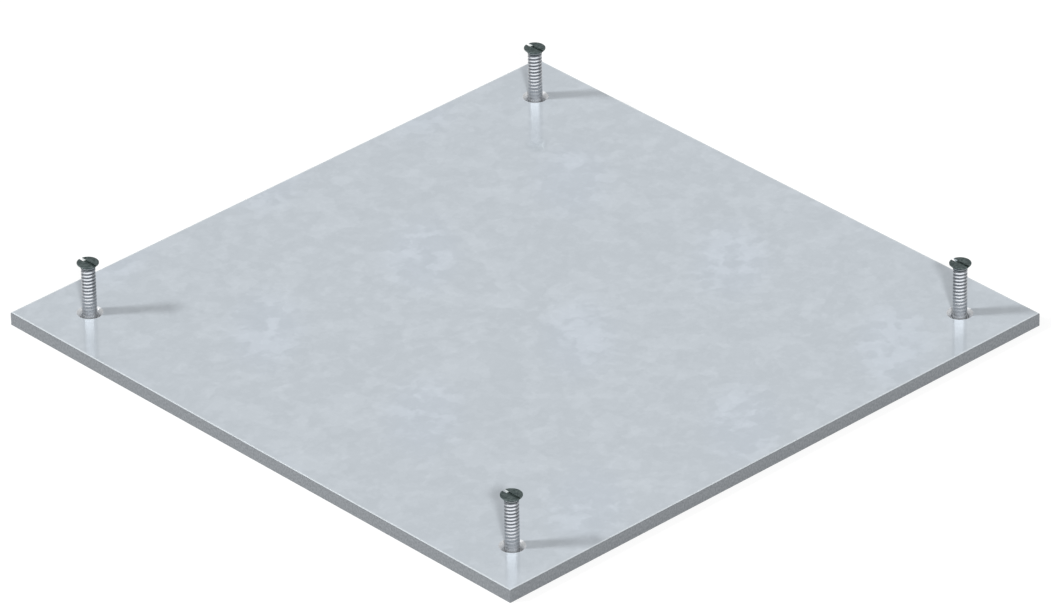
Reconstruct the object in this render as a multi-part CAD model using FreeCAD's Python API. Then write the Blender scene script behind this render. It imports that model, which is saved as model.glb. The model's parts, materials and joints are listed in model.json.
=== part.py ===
import FreeCAD, Part

import math
import os

# A square steel cover plate and its four slotted countersunk screws.
#
# The plate is flat sheet with a countersunk hole near each corner. It lies on its
# underside, and a screw stands loose in each hole, ready to be driven, with its tip on
# the surface that the plate lies on.
#
# Millimetres, +Z up. The origin is the centre of the plate's underside, X runs along
# the plate's width and Y along its depth.

# Plate
plate_width = 250.0
plate_depth = 250.0
plate_thickness = 5.0
# The upright edges at the corners and the edges underneath are barely eased. The edges
# round the top are rounded over, as shearing from above leaves them.
corner_rounding = 0.3
top_edge_rounding = 0.5
bottom_edge_rounding = 0.1
# From a side of the plate to the centre of the holes along it.
hole_inset = 19.4

# Screw
thread_diameter = 5.0
screw_length = 25.0
# How far the head's rim stands out all round past the thread.
head_overhang = 1.35
# Height of the narrow upright band round the head, above its cone.
head_rim = 0.3
# Angle between opposite sides of the head's cone, and of the countersink that takes it.
cone_angle = 90.0
slot_width = 1.2
slot_depth = 1.1
# Height and width of the chamfer round the tip.
tip_chamfer = 0.5

# Fits
# Radial room round the thread in its hole, and round the head in its countersink.
thread_clearance = 0.75
head_clearance = 0.75

# Sizes that follow from those above
thread_radius = thread_diameter / 2
head_radius = thread_radius + head_overhang
hole_radius = thread_radius + thread_clearance
countersink_radius = head_radius + head_clearance
cone_slope = math.tan(math.radians(cone_angle / 2))

# How far a cutting tool reaches past the faces that it has to open.
overrun = 1.0

up = FreeCAD.Vector(0, 0, 1)
middle = FreeCAD.Vector(0, 0, 0)


def turned(profile):
    """One solid of revolution about Z from (radius, height) corners, in order."""
    corners = [FreeCAD.Vector(radius, 0, height) for radius, height in profile]
    outline = Part.makePolygon(corners + corners[:1])
    return Part.Face(outline).revolve(middle, up, 360)


def is_upright(edge):
    """True for an edge that runs straight up and down."""
    return abs(edge.Length - edge.BoundBox.ZLength) < 1e-6


def is_level_at(edge, height):
    """True for an edge that lies in the horizontal plane at a height."""
    return all(abs(vertex.Z - height) < 1e-6 for vertex in edge.Vertexes)


def make_blank():
    """The plate before drilling, with its corners and its top and bottom edges eased."""
    blank = Part.makeBox(
        plate_width,
        plate_depth,
        plate_thickness,
        FreeCAD.Vector(-plate_width / 2, -plate_depth / 2, 0),
    )
    corners = [edge for edge in blank.Edges if is_upright(edge)]
    blank = blank.makeFillet(corner_rounding, corners)
    for height, rounding in ((plate_thickness, top_edge_rounding), (0, bottom_edge_rounding)):
        rim = [edge for edge in blank.Edges if is_level_at(edge, height)]
        blank = blank.makeFillet(rounding, rim)
    return blank


def make_hole_cutter():
    """What a drill and then a countersink take out of the plate, about the origin."""
    top = plate_thickness + overrun
    cone_foot = plate_thickness - (countersink_radius - hole_radius) / cone_slope
    return turned([
        (0, -overrun),
        (hole_radius, -overrun),
        (hole_radius, cone_foot),
        (countersink_radius, plate_thickness),
        (countersink_radius, top),
        (0, top),
    ])


def make_screw():
    """A slotted countersunk screw on its tip, its slot along Y, about the origin.

    The threaded part is a plain cylinder at the thread's outer diameter.
    """
    rim_foot = screw_length - head_rim
    cone_foot = rim_foot - head_overhang / cone_slope
    screw = turned([
        (0, 0),
        (thread_radius - tip_chamfer, 0),
        (thread_radius, tip_chamfer),
        (thread_radius, cone_foot),
        (head_radius, rim_foot),
        (head_radius, screw_length),
        (0, screw_length),
    ])
    slot_length = 2 * (head_radius + overrun)
    slot = Part.makeBox(
        slot_width,
        slot_length,
        slot_depth + overrun,
        FreeCAD.Vector(-slot_width / 2, -slot_length / 2, screw_length - slot_depth),
    )
    return screw.cut(slot)


def moved(shape, place):
    """A copy of a shape at a place on the plate."""
    copy = shape.copy()
    copy.translate(place)
    return copy


def corner_places():
    """The centre of each corner's hole, under the name of that corner."""
    across = plate_width / 2 - hole_inset
    along = plate_depth / 2 - hole_inset
    return {
        "front_left": FreeCAD.Vector(-across, -along, 0),
        "front_right": FreeCAD.Vector(across, -along, 0),
        "back_left": FreeCAD.Vector(-across, along, 0),
        "back_right": FreeCAD.Vector(across, along, 0),
    }


def make_plate(places):
    """The finished plate, with a countersunk hole at each place."""
    cutter = make_hole_cutter()
    return make_blank().cut([moved(cutter, place) for place in places])


places = corner_places()
parts = {"cover_plate": make_plate(places.values())}
screw = make_screw()
for corner, place in places.items():
    parts["screw_" + corner] = moved(screw, place)

os.makedirs("parts", exist_ok=True)
for name, shape in parts.items():
    shape.exportStep(f"parts/{name}.step")
    print(f"{name}: {len(shape.Solids)} solid, {shape.Volume:.1f} mm3, valid {shape.isValid()}")
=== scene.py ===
"""Finishes, threads, studio and camera for a square cover plate with four loose screws."""

import json
import logging
import math
from dataclasses import dataclass, field
from enum import Enum
from typing import Any

import bmesh
import bpy
from mathutils import Matrix, Vector

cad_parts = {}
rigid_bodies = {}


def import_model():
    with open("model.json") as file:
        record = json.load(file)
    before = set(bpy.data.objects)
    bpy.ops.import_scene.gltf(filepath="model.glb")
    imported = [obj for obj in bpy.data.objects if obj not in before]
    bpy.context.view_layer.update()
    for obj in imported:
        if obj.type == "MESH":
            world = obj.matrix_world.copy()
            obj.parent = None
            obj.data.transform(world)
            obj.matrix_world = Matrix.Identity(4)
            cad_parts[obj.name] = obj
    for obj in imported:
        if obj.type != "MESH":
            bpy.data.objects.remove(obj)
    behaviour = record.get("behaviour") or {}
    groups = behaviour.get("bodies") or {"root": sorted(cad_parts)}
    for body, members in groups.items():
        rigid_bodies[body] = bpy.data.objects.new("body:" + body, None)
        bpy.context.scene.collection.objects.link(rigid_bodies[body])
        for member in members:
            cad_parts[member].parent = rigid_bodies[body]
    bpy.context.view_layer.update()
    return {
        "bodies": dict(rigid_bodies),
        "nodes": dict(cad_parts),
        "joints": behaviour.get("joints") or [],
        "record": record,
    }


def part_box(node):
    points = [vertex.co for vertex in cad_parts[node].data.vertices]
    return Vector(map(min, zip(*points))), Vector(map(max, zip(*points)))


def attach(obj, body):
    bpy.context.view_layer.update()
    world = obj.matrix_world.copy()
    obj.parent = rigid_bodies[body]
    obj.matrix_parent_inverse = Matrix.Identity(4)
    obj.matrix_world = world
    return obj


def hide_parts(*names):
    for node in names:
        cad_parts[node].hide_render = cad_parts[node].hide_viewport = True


log = logging.getLogger("cover_plate")

MM = 0.001
SMALLEST_RADIUS = 0.001 * MM
CORNERS = ("front_left", "front_right", "back_left", "back_right")
THREADED = tuple(f"threaded_screw_{corner}" for corner in CORNERS)

Number = float | int
Colour = tuple[float, float, float]


class Slot(Enum):
    """The record's material slots that the pieces take their finish from."""

    PLATE = "galvanised_plate"
    SCREW = "zinc_plated_screw"


class Value:
    """A node's output socket, with Python operators that add Math nodes."""

    def __init__(self, sheet: "Sheet", socket: bpy.types.NodeSocket) -> None:
        """Wraps a socket.

        Args:
            sheet: The node sheet that the socket is on.
            socket: The output to carry on from.
        """
        self.sheet = sheet
        self.socket = socket

    def _math(self, operation: str, *terms: "Value | Number") -> "Value":
        """Adds one Math node that takes these terms in order."""
        return self.sheet.node("ShaderNodeMath", {"operation": operation}, dict(enumerate(terms)))[0]

    def __add__(self, other: "Value | Number") -> "Value":
        """The sum."""
        return self._math("ADD", self, other)

    __radd__ = __add__

    def __sub__(self, other: "Value | Number") -> "Value":
        """The difference."""
        return self._math("SUBTRACT", self, other)

    def __rsub__(self, other: "Value | Number") -> "Value":
        """The difference, with this value taken away."""
        return self._math("SUBTRACT", other, self)

    def __mul__(self, other: "Value | Number") -> "Value":
        """The product."""
        return self._math("MULTIPLY", self, other)

    __rmul__ = __mul__

    def __truediv__(self, other: "Value | Number") -> "Value":
        """The quotient."""
        return self._math("DIVIDE", self, other)

    def __abs__(self) -> "Value":
        """The size without its sign."""
        return self._math("ABSOLUTE", self)

    def __lt__(self, other: "Value | Number") -> "Value":
        """1 where this value is the smaller one, and 0 elsewhere."""
        return self._math("LESS_THAN", self, other)

    def __gt__(self, other: "Value | Number") -> "Value":
        """1 where this value is the larger one, and 0 elsewhere."""
        return self._math("GREATER_THAN", self, other)

    def least(self, other: "Value | Number") -> "Value":
        """The smaller of the two."""
        return self._math("MINIMUM", self, other)

    def most(self, other: "Value | Number") -> "Value":
        """The larger of the two."""
        return self._math("MAXIMUM", self, other)

    def root(self) -> "Value":
        """The square root."""
        return self._math("SQRT", self)

    def sine(self) -> "Value":
        """The sine of an angle in radians."""
        return self._math("SINE", self)

    def part(self) -> "Value":
        """What is left past the whole number below."""
        return self._math("FRACT", self)

    def angle_of(self, x: "Value") -> "Value":
        """The angle of the direction whose X is x and whose Y is this value, in radians."""
        return self._math("ARCTAN2", self, x)

    def ramp(self, low: "Value | Number", high: "Value | Number", smooth: bool = True) -> "Value":
        """Rises from 0 to 1 as this value goes from low to high.

        Args:
            low: Where the rise starts.
            high: Where it ends, which may lie below low.
            smooth: Whether it eases in and out.

        Returns:
            A value from 0 to 1.
        """
        shape = "SMOOTHSTEP" if smooth else "LINEAR"
        links = {"Value": self, "From Min": low, "From Max": high}
        return self.sheet.node("ShaderNodeMapRange", {"interpolation_type": shape}, links)[0]


class Sheet:
    """A node tree with one method that adds any node."""

    def __init__(self, tree: bpy.types.NodeTree) -> None:
        """Starts on an empty tree.

        Args:
            tree: The tree to fill.
        """
        self.tree = tree

    def node(
        self,
        kind: str,
        settings: dict[str, Any] | None = None,
        links: dict[str | int, Any] | None = None,
    ) -> dict[str | int, Value]:
        """Adds a node.

        Args:
            kind: The node's type.
            settings: Its properties, which are set first.
            links: What goes to each input, under its name or place: a Value or a constant.

        Returns:
            Its outputs, under their places and their names.
        """
        node = self.tree.nodes.new(kind)
        for name, setting in (settings or {}).items():
            setattr(node, name, setting)
        for key, given in (links or {}).items():
            if isinstance(given, Value):
                self.tree.links.new(given.socket, node.inputs[key])
            else:
                node.inputs[key].default_value = given
        outputs: dict[str | int, Value] = {}
        for place, socket in enumerate(node.outputs):
            outputs[place] = Value(self, socket)
            if socket.enabled:
                outputs.setdefault(socket.name, outputs[place])
        return outputs

    def split(self, vector: Value) -> tuple[Value, Value, Value]:
        """The three coordinates of a vector."""
        parts = self.node("ShaderNodeSeparateXYZ", links={0: vector})
        return parts["X"], parts["Y"], parts["Z"]

    def joined(self, x: Value | Number, y: Value | Number, z: Value | Number) -> Value:
        """A vector from three coordinates."""
        return self.node("ShaderNodeCombineXYZ", links={0: x, 1: y, 2: z})[0]

    def vector(self, operation: str, *terms: Any) -> Value:
        """One Vector Math node that takes these terms in order."""
        return self.node("ShaderNodeVectorMath", {"operation": operation}, dict(enumerate(terms)))[0]

    def scaled(self, vector: Value, factor: float) -> Value:
        """A vector times a number."""
        links = {0: vector, "Scale": factor}
        return self.node("ShaderNodeVectorMath", {"operation": "SCALE"}, links)[0]

    def length(self, vector: Value) -> Value:
        """How long a vector is."""
        return self.node("ShaderNodeVectorMath", {"operation": "LENGTH"}, {0: vector})[1]

    def blend(self, factor: Value, first: Value | Colour, second: Value | Colour) -> Value:
        """A colour between two.

        Args:
            factor: 0 gives the first and 1 the second.
            first: A colour.
            second: A colour.

        Returns:
            The mixed colour.
        """
        settings = {"data_type": "RGBA", "clamp_factor": True}
        links = {0: factor, 6: opaque(first), 7: opaque(second)}
        return self.node("ShaderNodeMix", settings, links)[2]


def opaque(colour: Value | Colour) -> Any:
    """A colour with its alpha, or the value as it is."""
    return colour if isinstance(colour, Value) else (*colour, 1.0)


def linear(red: float, green: float, blue: float) -> Colour:
    """A colour as the shaders take it.

    Args:
        red: From 0 to 255, as a screen shows it.
        green: The same.
        blue: The same.

    Returns:
        The three linear parts, from 0 to 1.
    """

    def part(level: float) -> float:
        """One channel, from screen level to linear."""
        share = level / 255
        return share / 12.92 if share <= 0.04045 else ((share + 0.055) / 1.055) ** 2.4

    return part(red), part(green), part(blue)


@dataclass(frozen=True)
class Clouds:
    """One layer of soft patches in a finish, in millimetres.

    A patch fades in between the two values of the noise that its edge names. It is so many
    levels lighter. A drift, where there is one, is the size and the reach of the pushes that
    bend its outline.
    """

    size: float
    detail: float
    roughness: float
    edge: tuple[float, float]
    levels: float = 1.0
    drift: tuple[float, float] | None = None


@dataclass(frozen=True)
class Oval:
    """A soft oval patch, in millimetres and degrees from X.

    It is at its full strength up to full_share of the way from its middle to its outline.
    """

    middle: tuple[float, float]
    half: tuple[float, float]
    turn: float
    full_share: float = 0.3


@dataclass(frozen=True)
class Region:
    """What one region adds to its finish, and how many steps of relief its marks are high."""

    roughness: float
    metallic: float
    height: float


class Finish:
    """A material that is being built, with the part's own coordinates at hand."""

    def __init__(self, name: str) -> None:
        """Starts an empty material.

        Args:
            name: The material's name.
        """
        self.material = bpy.data.materials.new(name)
        self.material.use_nodes = True
        self.material.node_tree.nodes.clear()
        self.sheet = Sheet(self.material.node_tree)
        place = self.sheet.node("ShaderNodeTexCoord")["Object"]
        self.mm = self.sheet.scaled(place, 1 / MM)
        self.x, self.y, self.z = self.sheet.split(self.mm)

    def from_corner_axis(self, inset: tuple[float, float]) -> tuple[Value, Value]:
        """Where a point lies from the nearest of the four screws' axes.

        Args:
            inset: The axes' distance from the plate's centre along X and Y, in millimetres.

        Returns:
            The step along X, positive away from the plate's centre, and the distance.
        """
        across = abs(self.x) - inset[0]
        along = abs(self.y) - inset[1]
        return across, (across * across + along * along).root()

    def noise(
        self,
        size: float,
        detail: float = 3.0,
        roughness: float = 0.6,
        at: Value | None = None,
    ) -> Value:
        """Noise from 0 to 1.

        Args:
            size: About how many millimetres across its lumps are.
            detail: How many times finer lumps are added.
            roughness: How strong the finer lumps are.
            at: The coordinates, or None for the part's own in millimetres.

        Returns:
            The noise.
        """
        links = {"Vector": at or self.mm, "Scale": 1 / size, "Detail": detail, "Roughness": roughness}
        return self.sheet.node("ShaderNodeTexNoise", {}, links)[0]

    def clouds(self, layer: Clouds) -> Value:
        """Where a layer's patches are, from 0 to 1."""
        at = self.drift(*layer.drift) if layer.drift else None
        return self.noise(layer.size, layer.detail, layer.roughness, at).ramp(*layer.edge)

    def repeated_oval(self, at: Value, oval: Oval, step: tuple[float, float]) -> Value:
        """An oval that comes back with every step of a pattern.

        Args:
            at: Flat coordinates from the start of the pattern, in millimetres.
            oval: The oval, placed within one step.
            step: The pattern's steps along X and Y.

        Returns:
            1 in the oval's middle and 0 outside it.
        """
        high, low = (step[0] / 2, step[1] / 2, 1.0), (-step[0] / 2, -step[1] / 2, -1.0)
        away = self.sheet.vector("SUBTRACT", at, (*oval.middle, 0.0))
        links = {
            "Vector": self.sheet.vector("WRAP", away, high, low),
            "Rotation": (0.0, 0.0, math.radians(oval.turn)),
            "Scale": (*oval.half, 1.0),
        }
        local = self.sheet.node("ShaderNodeMapping", {"vector_type": "TEXTURE"}, links)[0]
        return self.sheet.length(local).ramp(1.0, oval.full_share)

    def drift(self, size: float, reach: float) -> Value:
        """The part's coordinates, pushed about by up to a reach, in patches of a size."""
        links = {"Vector": self.mm, "Scale": 1 / size, "Detail": 2.0}
        push = self.sheet.node("ShaderNodeTexNoise", {}, links)[1]
        centred = self.sheet.vector("SUBTRACT", push, (0.5, 0.5, 0.5))
        return self.sheet.vector("ADD", self.mm, self.sheet.scaled(centred, 2 * reach))

    def shear_marks(self, size: float, length: float) -> Value:
        """Fine grain on the plate's four cut sides, from 0 to 1.

        Args:
            size: How wide a streak is, in millimetres.
            length: How tall it is before it fades into the next.

        Returns:
            The streaks' lightness.
        """
        way = self.sheet.joined((self.x + self.y) / size, 0.0, self.z / length)
        return self.noise(1.0, at=way)

    def crystals(self, size: float, at: Value) -> Value:
        """A random number from 0 to 1 for each of many soft-edged cells about a size across."""
        links = {"Vector": at, "Scale": 1 / size, "Smoothness": 0.15}
        cells = self.sheet.node("ShaderNodeTexVoronoi", {"feature": "SMOOTH_F1"}, links)
        return self.sheet.split(cells["Color"])[0]

    def rings(self, radius: Value, rate: float, wander: Value | Number = 0.0) -> Value:
        """Turning marks round an axis.

        Args:
            radius: The distance from the axis, in millimetres.
            rate: How many radians of their wave a millimetre has.
            wander: How many radians they are out by.

        Returns:
            The marks' height, from 0 to 1.
        """
        return (radius * rate + wander).sine() * 0.5 + 0.5

    def close(self, height: Value, relief: float, **varying: Value) -> bpy.types.Material:
        """Adds the shader and the output.

        Args:
            height: The surface's height, in steps of the relief.
            relief: The size of such a step, in millimetres.
            varying: What changes over the surface, under its socket's name with _ for a space.

        Returns:
            The finished material.
        """
        links: dict[str | int, Any] = {name.replace("_", " "): value for name, value in varying.items()}
        bump = {"Height": height, "Distance": relief * MM, "Strength": 1.0}
        links["Normal"] = self.sheet.node("ShaderNodeBump", {}, bump)[0]
        shader = self.sheet.node("ShaderNodeBsdfPrincipled", {}, links)[0]
        self.sheet.node("ShaderNodeOutputMaterial", {}, {"Surface": shader})
        return self.material


@dataclass(frozen=True)
class GalvanisedFinish:
    """Hot-dipped sheet: pale spangle on the faces, grey cut sides, bright countersinks.

    The faces go from dull to bright in light_levels small steps, and plain_levels is where they
    stand with nothing added. A band of the pattern is bluer, and its wisps are lighter. The side,
    whose grey is partly painted shade, and the arris, painted lighter as a painted highlight on the
    rounded edge, fade in between two distances from the plate's rim. A countersink takes on the
    bore's grey, painted shade in the hole, from cone_shade inside its rim to bore_shade outside the
    bore.
    """

    dull: Colour = linear(197.5, 205, 211.7)
    bright: Colour = linear(214.5, 221.9, 229)
    dull_blue: Colour = linear(196.5, 204.8, 213.7)
    bright_blue: Colour = linear(213, 221.5, 231.5)
    light_levels: float = 16.0
    plain_levels: float = 2.7

    pattern_step: tuple[float, float] = (72.6, 79.3)
    pattern_drift: tuple[float, float] = (5.0, 3.0)
    band: Oval = Oval(middle=(54.0, 20.0), half=(36.0, 18.0), turn=45.0)
    band_blue: float = 0.6
    band_levels: float = 0.3
    band_wisp_levels: float = 4.0
    wisps: Clouds = Clouds(9.0, 3.0, 0.45, edge=(0.48, 0.6), levels=4.0, drift=(6.0, 3.4))
    patches: Clouds = Clouds(13.0, 4.0, 0.6, edge=(0.49, 0.55), levels=1.0, drift=(9.0, 3.2))
    flecks: Clouds = Clouds(5.0, 3.0, 0.55, edge=(0.515, 0.585), levels=2.6, drift=(3.0, 1.5))
    specks: Clouds = Clouds(2.4, 1.0, 0.5, edge=(0.53, 0.61), levels=1.1)
    spangle_size: float = 6.0
    spangle_drift: tuple[float, float] = (4.0, 1.6)
    spangle_levels: float = 2.5
    spangle_roughness: float = 0.04
    grain_size: float = 0.9
    grain_levels: float = 1.2
    grain_height: float = 0.1

    # The arris is painted lighter than the face: a painted highlight along the rounded top edge.
    arris_highlight_colour: Colour = linear(220, 227, 232)
    arris_from_rim: tuple[float, float] = (0.85, 0.6)
    # The cut sides' grey is sheared steel, darkened partly as painted shade for the dimmer light on the
    # vertical sides.
    cut_side: Colour = linear(147, 151.5, 156)
    cut_streak: Colour = linear(126, 130.5, 135)
    streak_size: tuple[float, float] = (0.6, 0.9)
    streak_edge: tuple[float, float] = (0.34, 0.66)
    side_from_rim: tuple[float, float] = (0.2, 0.1)

    # The countersink's near white is bright drilled steel, whitened partly as a painted highlight; the
    # bore's grey is painted shade in the hole.
    cone_colour: Colour = linear(240, 242, 244)
    shaded_bore_colour: Colour = linear(215, 218, 222)
    cone_radius: float = 4.6
    cone_shade: float = 0.5
    bore_radius: float = 3.25
    bore_shade: float = 0.2
    hole_margin: float = 0.02
    ring_rate: float = 9.0
    ring_wander: float = 0.8
    wander_size: float = 1.4

    roughness: float = 0.12
    metallic: float = 0.3
    relief: float = 0.004
    side: Region = Region(roughness=0.3, metallic=0.15, height=1.5)
    cone: Region = Region(roughness=0.12, metallic=0.1, height=2.0)

    def face(self, made: Finish, half: tuple[float, float], spangle: Value, grain: Value) -> Value:
        """The colour of the sheet's faces.

        Args:
            made: The material that is being built.
            half: Half the plate's width and depth, in millimetres.
            spangle: The crystals' lightness, from 0 to 1.
            grain: The grain's lightness, from 0 to 1.

        Returns:
            The colour.
        """
        sheet = made.sheet
        x, y, _ = sheet.split(made.drift(*self.pattern_drift))
        at = sheet.joined(x + half[0], y + half[1], 0.0)
        band = made.repeated_oval(at, self.band, self.pattern_step)
        wisp_levels = self.band_wisp_levels * band + self.wisps.levels
        level = self.plain_levels + self.band_levels * band + wisp_levels * made.clouds(self.wisps)
        for layer in (self.patches, self.flecks, self.specks):
            level = level + layer.levels * made.clouds(layer)
        level = level + self.spangle_levels * spangle + self.grain_levels * (grain - 0.5)
        share = level / self.light_levels
        plain = sheet.blend(share, self.dull, self.bright)
        blue = sheet.blend(share, self.dull_blue, self.bright_blue)
        return sheet.blend(self.band_blue * band, plain, blue)

    def material(self, half: tuple[float, float], inset: tuple[float, float]) -> bpy.types.Material:
        """Builds the material.

        Args:
            half: Half the plate's width and depth, in millimetres.
            inset: The hole axes' distance from the plate's centre, in millimetres.

        Returns:
            The finished material.
        """
        made = Finish("galvanised_plate")
        sheet = made.sheet
        _, radius = made.from_corner_axis(inset)
        rim = (half[0] - abs(made.x)).least(half[1] - abs(made.y))
        spangle = made.crystals(self.spangle_size, made.drift(*self.spangle_drift))
        grain = made.noise(self.grain_size)

        streaks = made.shear_marks(*self.streak_size).ramp(*self.streak_edge)
        on_side = rim.ramp(*self.side_from_rim)
        # Painted highlight: a lighter band along the plate's rounded top edge.
        on_arris_highlight = rim.ramp(*self.arris_from_rim)
        colour = sheet.blend(on_arris_highlight, self.face(made, half, spangle, grain), self.arris_highlight_colour)
        # The sides' grey is partly painted shade on the vertical faces.
        colour = sheet.blend(on_side, colour, sheet.blend(streaks, self.cut_streak, self.cut_side))

        in_cone = radius < self.cone_radius + self.hole_margin
        in_bore = radius < self.bore_radius + self.hole_margin
        # Painted shade: the countersink darkens towards the bore's grey deeper in the hole, and the bore
        # is painted that grey.
        painted_hole_shade = radius.ramp(self.cone_radius - self.cone_shade, self.bore_radius + self.bore_shade)
        colour = sheet.blend(in_cone, colour, sheet.blend(painted_hole_shade, self.cone_colour, self.shaded_bore_colour))
        colour = sheet.blend(in_bore, colour, self.shaded_bore_colour)

        wander = self.ring_wander * made.noise(self.wander_size, detail=2.0, roughness=0.5)
        rings = made.rings(radius, self.ring_rate, wander)
        height = self.grain_height * grain + self.side.height * on_side * streaks
        rough = self.roughness + self.spangle_roughness * (spangle - 0.5)
        return made.close(
            height + self.cone.height * in_cone * rings,
            self.relief,
            Base_Color=colour,
            Roughness=rough + self.side.roughness * on_side + self.cone.roughness * in_cone,
            Metallic=self.metallic + self.cone.metallic * in_cone + self.side.metallic * on_side,
        )


@dataclass(frozen=True)
class ScrewFinish:
    """Bright zinc on the thread and in the slot, with a head painted dark as a painted reflection of
    dark surroundings.

    Heights are in millimetres. Up to tip_height the screw stands in its hole and is painted paler
    and duller, painted light that lifts the shank's shade there. Its grooves are painted darker than
    the crest as painted shade in the thread's roots, going from pale to dark over the stretch
    groove_darkens. What cone_fade and head_darkens say is counted from the cone's foot.
    """

    crest: Colour = linear(190, 193, 197)
    # The grooves' darker grey is painted shade in the thread's roots, lighter near the tip.
    groove: Colour = linear(104, 107, 112)
    groove_low: Colour = linear(150, 153, 157)
    # The tip's paler, duller zinc is painted light that lifts the shade on the shank inside its hole.
    tip: Colour = linear(192, 195, 198)
    # The neck's dark grey is painted shade under the head.
    neck: Colour = linear(70, 76, 78)
    cone: Colour = linear(238, 242, 243)
    # The head's dark grey is a painted reflection of dark surroundings; head_worn adds lighter patches.
    head: Colour = linear(57, 70, 70)
    head_worn: Colour = linear(101, 113, 112)
    slot: Colour = linear(212, 218, 217)
    # The slot floor's dark grey is painted shade at the bottom of the slot.
    slot_floor_shade: Colour = linear(84, 94, 93)

    tip_height: float = 5.2
    tip_fade: float = 0.8
    groove_darkens: tuple[float, float] = (7.0, 15.0)
    neck_fade: float = 0.1
    cone_fade: tuple[float, float] = (-0.1, 0.05)
    head_darkens: tuple[float, float] = (0.45, 0.7)
    wear: Clouds = Clouds(0.9, 3.0, 0.65, edge=(0.3, 0.75))
    slot_margin: float = 0.03
    top_margin: float = 0.01

    roughness: float = 0.3
    grain_roughness: float = 0.06
    head_roughness: float = 0.1
    slot_polish: float = 0.28
    head_metal_drop: float = 0.5
    tip_metal_drop: float = 0.3
    relief: float = 0.006
    grain_size: float = 0.6
    grain_height: float = 0.6
    ring_rate: float = 24.0
    ring_height: float = 0.4

    def threaded(self, made: Finish, screw: "CountersunkScrew", radius: Value, tip: Value) -> Value:
        """The colour of everything below the darkened head.

        Args:
            made: The material that is being built.
            screw: The screw, for its sizes.
            radius: The distance from the screw's axis, in millimetres.
            tip: 1 on the stretch that stands in the hole, and 0 above it.

        Returns:
            The colour.
        """
        blend = made.sheet.blend
        depth = radius.ramp(screw.root_radius, screw.thread_radius, smooth=False)
        # Painted shade: the grooves are darker than the crest, less so near the tip.
        groove = blend(made.z.ramp(*self.groove_darkens), self.groove_low, self.groove)
        # Painted light: the stretch in the hole is paler, lifting the shank's shade there.
        thread = blend(tip, blend(depth, groove, self.crest), self.tip)
        from_cone = made.z - screw.cone_foot
        on_neck = from_cone.ramp(-screw.neck - self.neck_fade, -screw.neck)
        on_cone = from_cone.ramp(*self.cone_fade)
        # Painted shade: a dark band under the head, where the neck meets the cone.
        return blend(on_neck, thread, blend(on_cone, self.neck, self.cone))

    def material(self, screw: "CountersunkScrew", inset: tuple[float, float]) -> bpy.types.Material:
        """Builds the material.

        Args:
            screw: The screw, for its sizes.
            inset: The screw axes' distance from the plate's centre, in millimetres.

        Returns:
            The finished material.
        """
        made = Finish("zinc_plated_screw")
        blend = made.sheet.blend
        across, radius = made.from_corner_axis(inset)
        grain = made.noise(self.grain_size)
        # Painted light: the stretch in the hole is paler and duller.
        tip = made.z.ramp(self.tip_height, self.tip_height - self.tip_fade)
        on_head = (made.z - screw.cone_foot).ramp(*self.head_darkens)
        # The head's dark grey is a painted reflection of dark surroundings.
        head = blend(made.clouds(self.wear), self.head, self.head_worn)

        slot_foot = screw.length - screw.slot_depth
        in_slot = abs(across) < screw.slot_width / 2 + self.slot_margin
        in_slot = in_slot * (made.z < screw.length - self.top_margin)
        in_slot = in_slot * (made.z > slot_foot - self.slot_margin)
        on_floor = in_slot * (made.z < slot_foot + self.slot_margin)
        colour = blend(on_head, self.threaded(made, screw, radius, tip), head)
        # Painted shade: the slot floor is dark grey.
        colour = blend(in_slot, colour, blend(on_floor, self.slot, self.slot_floor_shade))

        rings = made.rings(radius, self.ring_rate)
        rough = self.roughness + self.grain_roughness * grain + self.head_roughness * on_head
        # The dark head and the pale tip are made less metallic so that their painted colours show.
        metal_drop = self.head_metal_drop * on_head * (1 - in_slot) + self.tip_metal_drop * tip
        return made.close(
            self.grain_height * grain + self.ring_height * rings * on_head,
            self.relief,
            Base_Color=colour,
            Roughness=rough - self.slot_polish * (in_slot - on_floor),
            Metallic=1.0 - metal_drop,
        )


@dataclass(frozen=True)
class FloorFinish:
    """White paper that the camera and the metal see as pure white, with shadows kept."""

    paper: Colour = (0.27, 0.27, 0.27)
    lift: float = 0.78

    def material(self) -> bpy.types.Material:
        """Builds the material."""
        made = Finish("white_paper")
        rays = made.sheet.node("ShaderNodeLightPath")
        seen = rays["Is Camera Ray"].most(rays["Is Glossy Ray"]).most(rays["Is Transmission Ray"])
        lit = made.sheet.node("ShaderNodeBsdfDiffuse", {}, {"Color": opaque(self.paper)})[0]
        glow = made.sheet.node("ShaderNodeEmission", {}, {"Strength": seen * self.lift})[0]
        both = made.sheet.node("ShaderNodeAddShader", {}, {0: lit, 1: glow})[0]
        made.sheet.node("ShaderNodeOutputMaterial", {}, {"Surface": both})
        return made.material


@dataclass
class CoverPlate:
    """The drilled plate, whose shape is the frame's own."""

    node: str = "cover_plate"
    finish: GalvanisedFinish = field(default_factory=GalvanisedFinish)

    def dress(self, frame: dict[str, Any], inset: tuple[float, float]) -> bpy.types.Object:
        """Gives the plate its finish.

        Args:
            inset: The hole axes' distance from the plate's centre, in millimetres.

        Returns:
            The plate.
        """
        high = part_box(self.node)[1]
        half = (high.x / MM, high.y / MM)
        plate = frame["nodes"][self.node]
        plate.data.materials.clear()
        plate.data.materials.append(self.finish.material(half, inset))
        return plate


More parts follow.
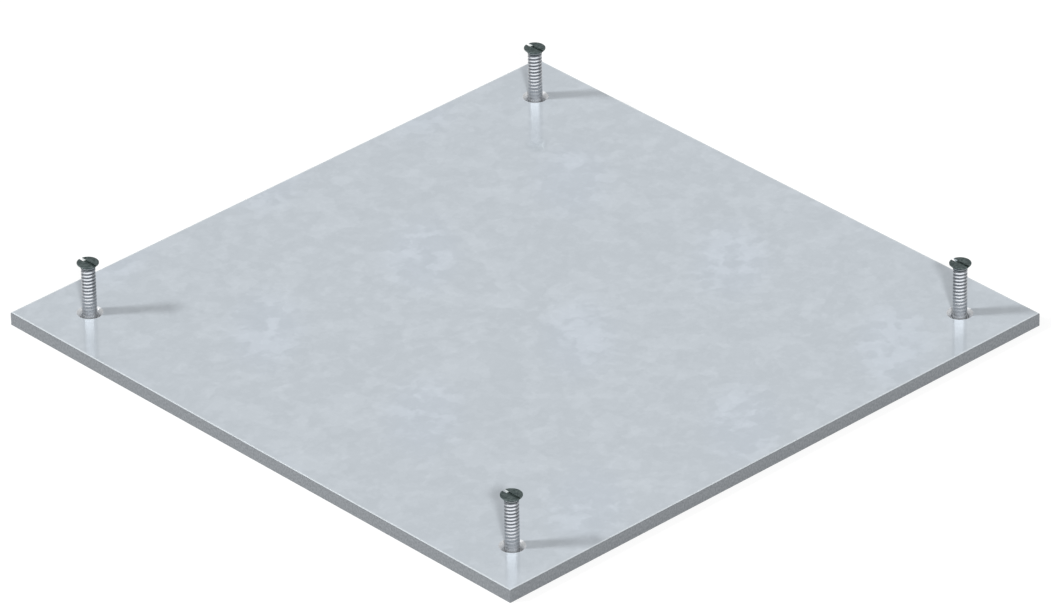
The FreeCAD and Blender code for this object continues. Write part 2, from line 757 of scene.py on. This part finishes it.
@dataclass
class CountersunkScrew:
    """A slotted countersunk machine screw with a rolled thread.

    Sizes are in millimetres. The thread is start_turn of a whole turn round. Below worn_below it
    has worn_share of its depth, and from whole_above up all of it. The slot's cutter overshoots
    the head at both ends and above.
    """

    shank_radius: float = 2.5
    thread_radius: float = 2.56
    thread_depth: float = 0.26
    pitch: float = 1.33
    start_turn: float = 0.25
    worn_share: float = 0.15
    worn_below: float = 2.7
    whole_above: float = 18.0
    length: float = 25.0
    head_radius: float = 3.85
    head_rim: float = 0.3
    rim_break: float = 0.05
    tip_chamfer: float = 0.5
    tip_rows: int = 4
    slot_width: float = 1.2
    slot_depth: float = 1.1
    overshoot: float = 1.0
    run_out: float = 0.5
    neck: float = 0.45
    segments: int = 56
    rows_per_turn: int = 12
    sharp_angle: float = 35.0
    finish: ScrewFinish = field(default_factory=ScrewFinish)

    @property
    def root_radius(self) -> float:
        """The thread's smallest radius."""
        return self.thread_radius - self.thread_depth

    @property
    def cone_foot(self) -> float:
        """Height where the head's cone leaves the thread."""
        return self.length - self.head_rim - (self.head_radius - self.shank_radius)

    def profile(self) -> list[tuple[float, float]]:
        """The blank's outline before the thread is rolled.

        Returns:
            Pairs of radius and height, from the tip's flat end to the top of the head.
        """
        flat = self.thread_radius - self.tip_chamfer
        rise = self.tip_chamfer / self.tip_rows
        tip = [(flat + rise * row, rise * row) for row in range(self.tip_rows)]
        rows = round((self.cone_foot - self.tip_chamfer) / self.pitch * self.rows_per_turn)
        step = (self.cone_foot - self.tip_chamfer) / rows
        shank = [(self.thread_radius, self.tip_chamfer + step * row) for row in range(rows + 1)]
        rim = self.length - self.head_rim
        head = [
            (self.head_radius - self.rim_break, rim - self.rim_break),
            (self.head_radius, rim + self.rim_break),
            (self.head_radius, self.length - self.rim_break),
            (self.head_radius - self.rim_break, self.length),
            (self.head_radius / 2, self.length),
        ]
        return tip + shank + head

    def blank(self) -> bpy.types.Object:
        """A closed blank turned from the outline, about the origin.

        Returns:
            The blank, not yet threaded or slotted.
        """
        mesh = bmesh.new()
        rings = []
        for radius, height in self.profile():
            ring = []
            for turn in range(self.segments):
                angle = 2 * math.pi * turn / self.segments
                corner = Vector((radius * math.cos(angle), radius * math.sin(angle), height))
                ring.append(mesh.verts.new(corner * MM))
            rings.append(ring)
        for below, above in zip(rings, rings[1:]):
            for turn in range(self.segments):
                after = (turn + 1) % self.segments
                mesh.faces.new((below[turn], below[after], above[after], above[turn]))
        mesh.faces.new(list(reversed(rings[0])))
        mesh.faces.new(rings[-1])
        data = bpy.data.meshes.new("screw_blank")
        mesh.to_mesh(data)
        mesh.free()
        made = bpy.data.objects.new("screw_blank", data)
        bpy.context.scene.collection.objects.link(made)
        return made

    def thread_tree(self) -> bpy.types.NodeTree:
        """Geometry Nodes that roll the thread, cut the slot and set the screw in its hole.

        Returns:
            The tree, with its sizes as named inputs, lengths in metres.
        """
        tree = bpy.data.node_groups.new("rolled_thread", "GeometryNodeTree")
        make = tree.interface.new_socket
        make("Geometry", in_out="INPUT", socket_type="NodeSocketGeometry")
        for name in ("Thread Radius", "Thread Depth", "Pitch", "Start Turn", "Thread End", "Run Out"):
            make(name, in_out="INPUT", socket_type="NodeSocketFloat")
        for name in ("Worn Share", "Worn Below", "Whole Above"):
            make(name, in_out="INPUT", socket_type="NodeSocketFloat")
        for name in ("Slot Size", "Slot Centre", "Place"):
            make(name, in_out="INPUT", socket_type="NodeSocketVector")
        make("Finish", in_out="INPUT", socket_type="NodeSocketMaterial")
        make("Geometry", in_out="OUTPUT", socket_type="NodeSocketGeometry")
        sheet = Sheet(tree)
        given = sheet.node("NodeGroupInput")
        x, y, z = sheet.split(sheet.node("GeometryNodeInputPosition")[0])
        radius = (x * x + y * y).root()
        turn = y.angle_of(x) / (2 * math.pi)
        phase = (z / given["Pitch"] - turn + given["Start Turn"]).part()
        groove = 1 - (abs(phase - 0.5) * 2.0).ramp(0.0, 1.0)
        fade_out = z.ramp(given["Thread End"], given["Thread End"] - given["Run Out"])
        whole = z.ramp(given["Worn Below"], given["Whole Above"])
        wear = given["Worn Share"] + (1 - given["Worn Share"]) * whole
        rolled = given["Thread Radius"] - given["Thread Depth"] * groove * fade_out * wear
        share = rolled.least(radius) / radius.most(SMALLEST_RADIUS)
        threaded = sheet.joined(x * share, y * share, z)
        shank = z < given["Thread End"]
        links = {"Geometry": given["Geometry"], "Selection": shank, "Position": threaded}
        rolled_mesh = sheet.node("GeometryNodeSetPosition", {}, links)[0]
        cutter = sheet.node("GeometryNodeMeshCube", {}, {"Size": given["Slot Size"]})[0]
        links = {"Geometry": cutter, "Translation": given["Slot Centre"]}
        cutter = sheet.node("GeometryNodeTransform", {}, links)[0]
        settings = {"operation": "DIFFERENCE", "solver": "EXACT"}
        slotted = sheet.node("GeometryNodeMeshBoolean", settings, {0: rolled_mesh, 1: cutter})[0]
        links = {"Geometry": slotted, "Translation": given["Place"]}
        placed = sheet.node("GeometryNodeTransform", {}, links)[0]
        real = sheet.node("GeometryNodeRealizeInstances", {}, {"Geometry": placed})[0]
        links = {"Geometry": real, "Material": given["Finish"]}
        dressed = sheet.node("GeometryNodeSetMaterial", {}, links)[0]
        sheet.node("NodeGroupOutput", {}, {"Geometry": dressed})
        return tree

    def build(
        self,
        name: str,
        node: str,
        tree: bpy.types.NodeTree,
        finish: bpy.types.Material,
    ) -> bpy.types.Object:
        """Makes one finished screw in place of its node.

        Args:
            name: The piece's name.
            node: The node that it stands for.
            tree: What thread_tree() returned.
            finish: The screw's material.

        Returns:
            The screw, as a plain mesh in its place.
        """
        low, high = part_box(node)
        place = Vector(((low.x + high.x) / 2, (low.y + high.y) / 2, low.z))
        reach = 2 * (self.head_radius + self.overshoot)
        cut = self.slot_depth + self.overshoot
        inputs = {
            "Thread Radius": self.thread_radius * MM,
            "Thread Depth": self.thread_depth * MM,
            "Pitch": self.pitch * MM,
            "Start Turn": self.start_turn,
            "Thread End": (self.cone_foot - self.neck) * MM,
            "Run Out": self.run_out * MM,
            "Worn Share": self.worn_share,
            "Worn Below": self.worn_below * MM,
            "Whole Above": self.whole_above * MM,
            "Slot Size": Vector((self.slot_width, reach, cut)) * MM,
            "Slot Centre": Vector((0, 0, self.length - self.slot_depth + cut / 2)) * MM,
            "Place": place,
            "Finish": finish,
        }
        blank = self.blank()
        roller = blank.modifiers.new("rolled_thread", "NODES")
        roller.node_group = tree
        sockets = {s.name: s.identifier for s in tree.interface.items_tree if s.in_out == "INPUT"}
        for label, amount in inputs.items():
            roller[sockets[label]] = amount
        graph = bpy.context.evaluated_depsgraph_get()
        data = bpy.data.meshes.new_from_object(blank.evaluated_get(graph), depsgraph=graph)
        blank.modifiers.remove(roller)
        bpy.data.objects.remove(blank)
        data.name = name
        data.shade_smooth()
        data.set_sharp_from_angle(angle=math.radians(self.sharp_angle))
        screw = bpy.data.objects.new(name, data)
        bpy.context.scene.collection.objects.link(screw)
        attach(screw, "root")
        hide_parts(node)
        return screw


@dataclass(frozen=True)
class StudioSun:
    """A soft far lamp, set by what it gives the plate's top face.

    Angles are in degrees, and comes_from is counted from X. A lamp that names pieces shows in
    the polish of those alone, and any other lamp lights matt surfaces alone.
    """

    name: str
    comes_from: float
    elevation: float
    share: float
    spread: float
    shines_on: tuple[str, ...] = ()

    def build(self) -> bpy.types.Object:
        """Makes the lamp.

        Returns:
            The lamp, whose share is its part of the light on a level face, where the
            whole light of 1 shows a colour as it is written.
        """
        data = bpy.data.lights.new(self.name, "SUN")
        rise = math.radians(self.elevation)
        turn = math.radians(self.comes_from)
        data.energy = self.share * math.pi / math.sin(rise)
        data.angle = math.radians(self.spread)
        lamp = bpy.data.objects.new(self.name, data)
        flat = math.cos(rise)
        back = Vector((math.cos(turn) * flat, math.sin(turn) * flat, math.sin(rise)))
        lamp.matrix_world = back.to_track_quat("Z", "Y").to_matrix().to_4x4()
        lamp.visible_glossy = bool(self.shines_on)
        lamp.visible_diffuse = not self.shines_on
        bpy.context.scene.collection.objects.link(lamp)
        if self.shines_on:
            seen = bpy.data.collections.new(f"lit_by_{self.name}")
            for name in self.shines_on:
                seen.objects.link(bpy.data.objects[name])
            lamp.light_linking.receiver_collection = seen
        return lamp


@dataclass
class Studio:
    """The floor, the soft light and the camera.

    Angles are in degrees. The floor's radius and the distance are in metres, the lens is in
    millimetres, and the shifts are in pixels of a picture that is picture_width of them wide.
    """

    sky: float = 0.51
    lamps: tuple[StudioSun, ...] = (
        StudioSun("key", comes_from=141.5, elevation=36.4, share=0.39, spread=9.0),
        StudioSun("second", comes_from=234.0, elevation=31.0, share=0.34, spread=5.5),
        StudioSun(
            "softbox",
            comes_from=212.0,
            elevation=34.0,
            share=0.95,
            spread=130.0,
            shines_on=THREADED,
        ),
    )
    floor_radius: float = 40.0
    floor_sides: int = 96
    azimuth: float = -42.956
    elevation: float = 31.006
    roll: float = -1.009
    distance: float = 3.406
    lens: float = 339.95
    far_clip: float = 100.0
    picture_width: float = 1051.0
    shift_right: float = 1.17
    shift_down: float = 5.58

    def floor(self) -> bpy.types.Object:
        """A round white floor just under the part."""
        mesh = bmesh.new()
        bmesh.ops.create_circle(mesh, cap_ends=True, segments=self.floor_sides, radius=self.floor_radius)
        data = bpy.data.meshes.new("floor")
        mesh.to_mesh(data)
        mesh.free()
        data.materials.append(FloorFinish().material())
        made = bpy.data.objects.new("floor", data)
        bpy.context.scene.collection.objects.link(made)
        return made

    def world(self) -> None:
        """Even soft light from all round."""
        world = bpy.data.worlds.new("studio")
        world.use_nodes = True
        world.node_tree.nodes.clear()
        sheet = Sheet(world.node_tree)
        shade = sheet.node("ShaderNodeBackground", {}, {"Strength": self.sky})[0]
        sheet.node("ShaderNodeOutputWorld", {}, {"Surface": shade})
        bpy.context.scene.world = world

    def camera(self, aim: Vector) -> bpy.types.Object:
        """The photograph's long lens, high over the plate's front left corner.

        Args:
            aim: The point that the picture is centred on.

        Returns:
            The camera.
        """
        data = bpy.data.cameras.new("camera")
        data.lens = self.lens
        data.clip_end = self.far_clip
        data.shift_x = self.shift_right / self.picture_width
        data.shift_y = self.shift_down / self.picture_width
        made = bpy.data.objects.new("camera", data)
        turn, rise = math.radians(self.azimuth), math.radians(self.elevation)
        flat = math.cos(rise)
        back = Vector((math.sin(turn) * flat, -math.cos(turn) * flat, math.sin(rise)))
        facing = back.to_track_quat("Z", "Y").to_matrix().to_4x4()
        rolled = facing @ Matrix.Rotation(math.radians(self.roll), 4, "Z")
        made.matrix_world = Matrix.Translation(aim + back * self.distance) @ rolled
        bpy.context.scene.collection.objects.link(made)
        bpy.context.scene.camera = made
        return made

    def build(self, aim: Vector) -> None:
        """Sets up the floor, the lamps, the sky and the camera.

        Args:
            aim: The point that the picture is centred on.
        """
        self.floor()
        for lamp in self.lamps:
            lamp.build()
        self.world()
        self.camera(aim)
        bpy.context.scene.view_settings.view_transform = "Standard"


def report(piece: bpy.types.Object) -> None:
    """Logs one piece and how many faces it has."""
    log.info("%s: %d faces", piece.name, len(piece.data.polygons))


def main() -> None:
    """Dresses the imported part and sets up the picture."""
    logging.basicConfig(level=logging.INFO, format="%(name)s: %(message)s")
    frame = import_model()

    low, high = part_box("screw_back_right")
    inset = ((low.x + high.x) / 2 / MM, (low.y + high.y) / 2 / MM)
    report(CoverPlate().dress(frame, inset))

    screw = CountersunkScrew()
    tree = screw.thread_tree()
    zinc = screw.finish.material(screw, inset)
    for name, corner in zip(THREADED, CORNERS):
        report(screw.build(name, f"screw_{corner}", tree, zinc))

    plate_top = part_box("cover_plate")[1].z
    Studio().build(Vector((0, 0, plate_top)))


if __name__ == "__main__":
    main()
